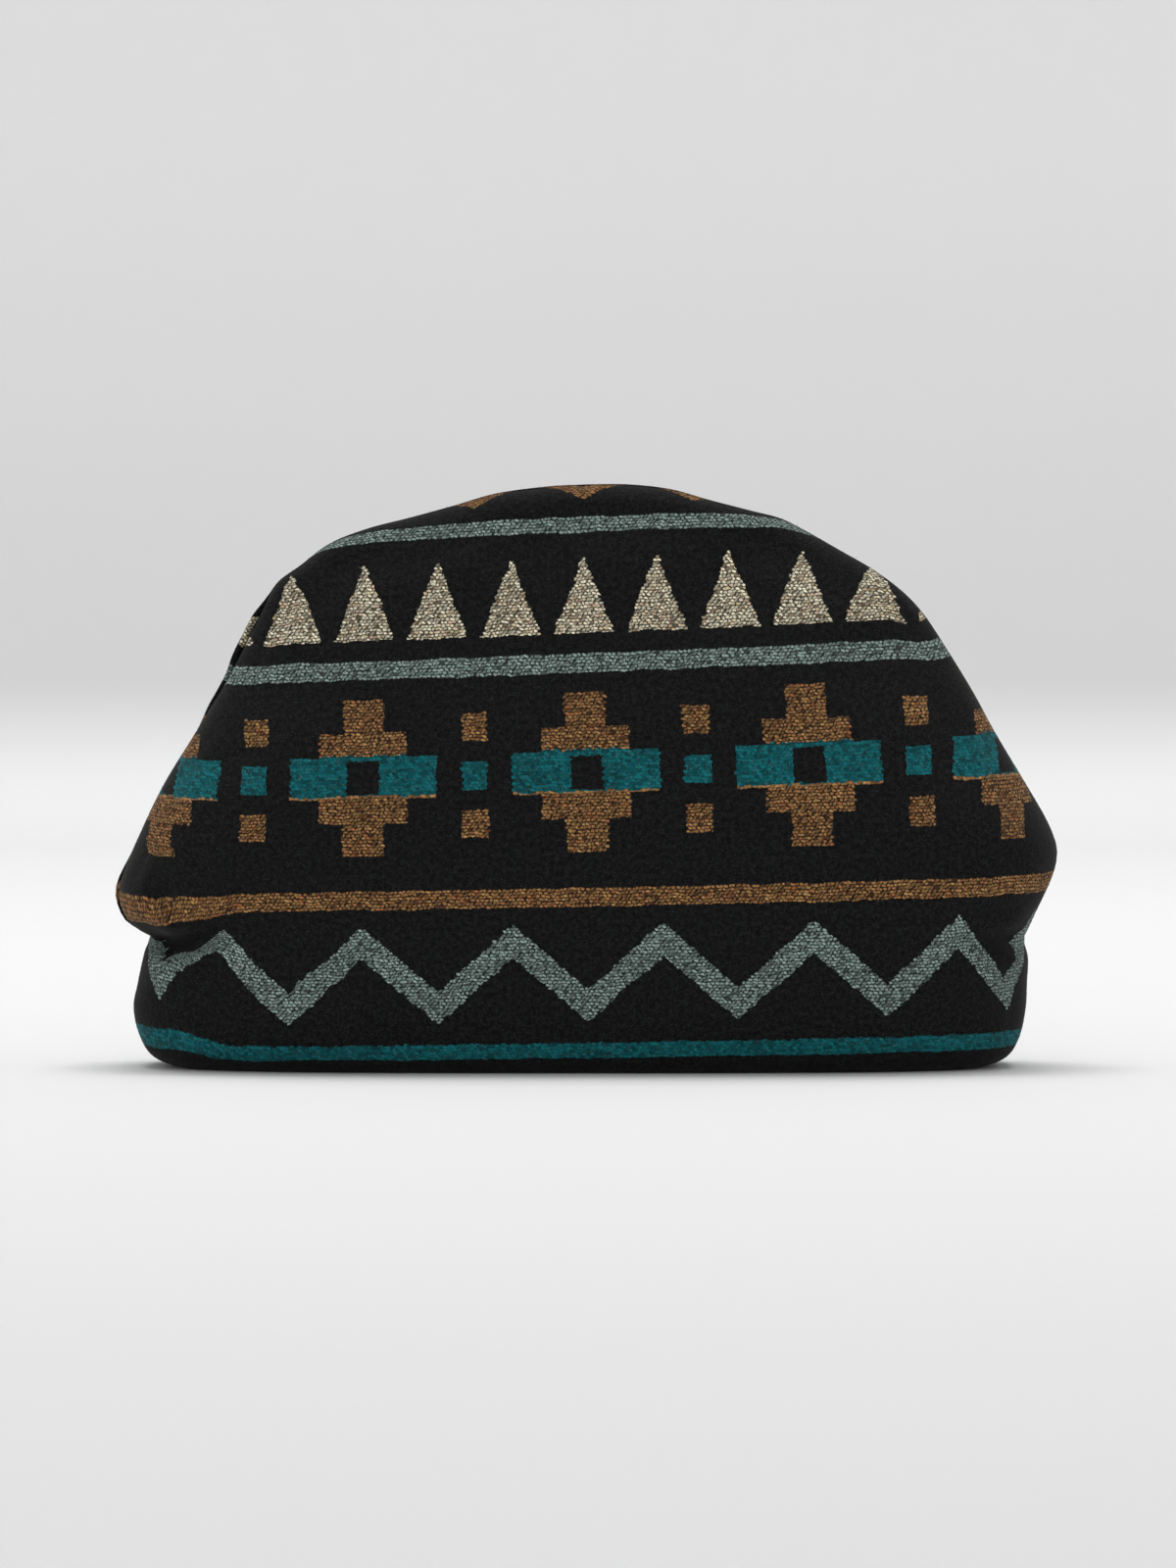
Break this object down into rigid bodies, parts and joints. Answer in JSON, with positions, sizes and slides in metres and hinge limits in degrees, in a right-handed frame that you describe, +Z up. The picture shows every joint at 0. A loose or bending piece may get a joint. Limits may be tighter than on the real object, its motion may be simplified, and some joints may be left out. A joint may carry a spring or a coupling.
{
  "type": "clutch bag",
  "caption": "Soft dome-topped woven wool clutch with a boxed base and a hinged wire frame hidden along its mouth, held shut by a magnetic snap.",
  "frame": {"origin": "centre of the bounding box on the surface that the bag stands on", "axes": "+Z up, +X along the bag's width to the right seen from the front, +Y from the front to the back"},
  "size_m": [0.3194, 0.1162, 0.1967],
  "materials": {
    "wool": "thick felted jacquard wool, black ground with tan, cream, blue-grey and teal figures, matt and slightly fuzzy",
    "lining": "plain dark cotton twill",
    "facing": "black cotton twill, folded and top-stitched",
    "pocket": "plain dark cotton twill",
    "board": "black polyethylene sheet, matt",
    "steel": "bright drawn steel",
    "snap": "antique brass plating, satin"
  },
  "bodies": {
    "bag": {"front_shell": "wool", "back_shell": "wool", "front_lining": "lining", "back_lining": "lining", "slip_pocket": "pocket", "base_board": "board", "left_rivet": "steel", "right_rivet": "steel", "left_hinge_washer": "steel", "right_hinge_washer": "steel"},
    "front_frame": {"front_frame_wire": "steel", "front_facing": "facing", "snap_stud": "snap", "stud_backing_plate": "steel"},
    "back_frame": {"back_frame_wire": "steel", "back_facing": "facing", "snap_socket": "snap", "socket_backing_plate": "steel"}
  },
  "joints": [
    {"name": "front_opening", "type": "hinge", "parent": "bag", "child": "front_frame", "pos_m": [0, 0, 0.116], "axis": [1, 0, 0], "range_deg": [0, 22], "stiffness_Nm_per_rad": 0.15, "springref_deg": -5.73, "deforming": ["front_shell", "front_lining"]},
    {"name": "back_opening", "type": "hinge", "parent": "bag", "child": "back_frame", "pos_m": [0, 0, 0.116], "axis": [-1, 0, 0], "range_deg": [0, 22], "stiffness_Nm_per_rad": 0.15, "springref_deg": -5.73, "deforming": ["back_shell", "back_lining", "slip_pocket"]}
  ]
}
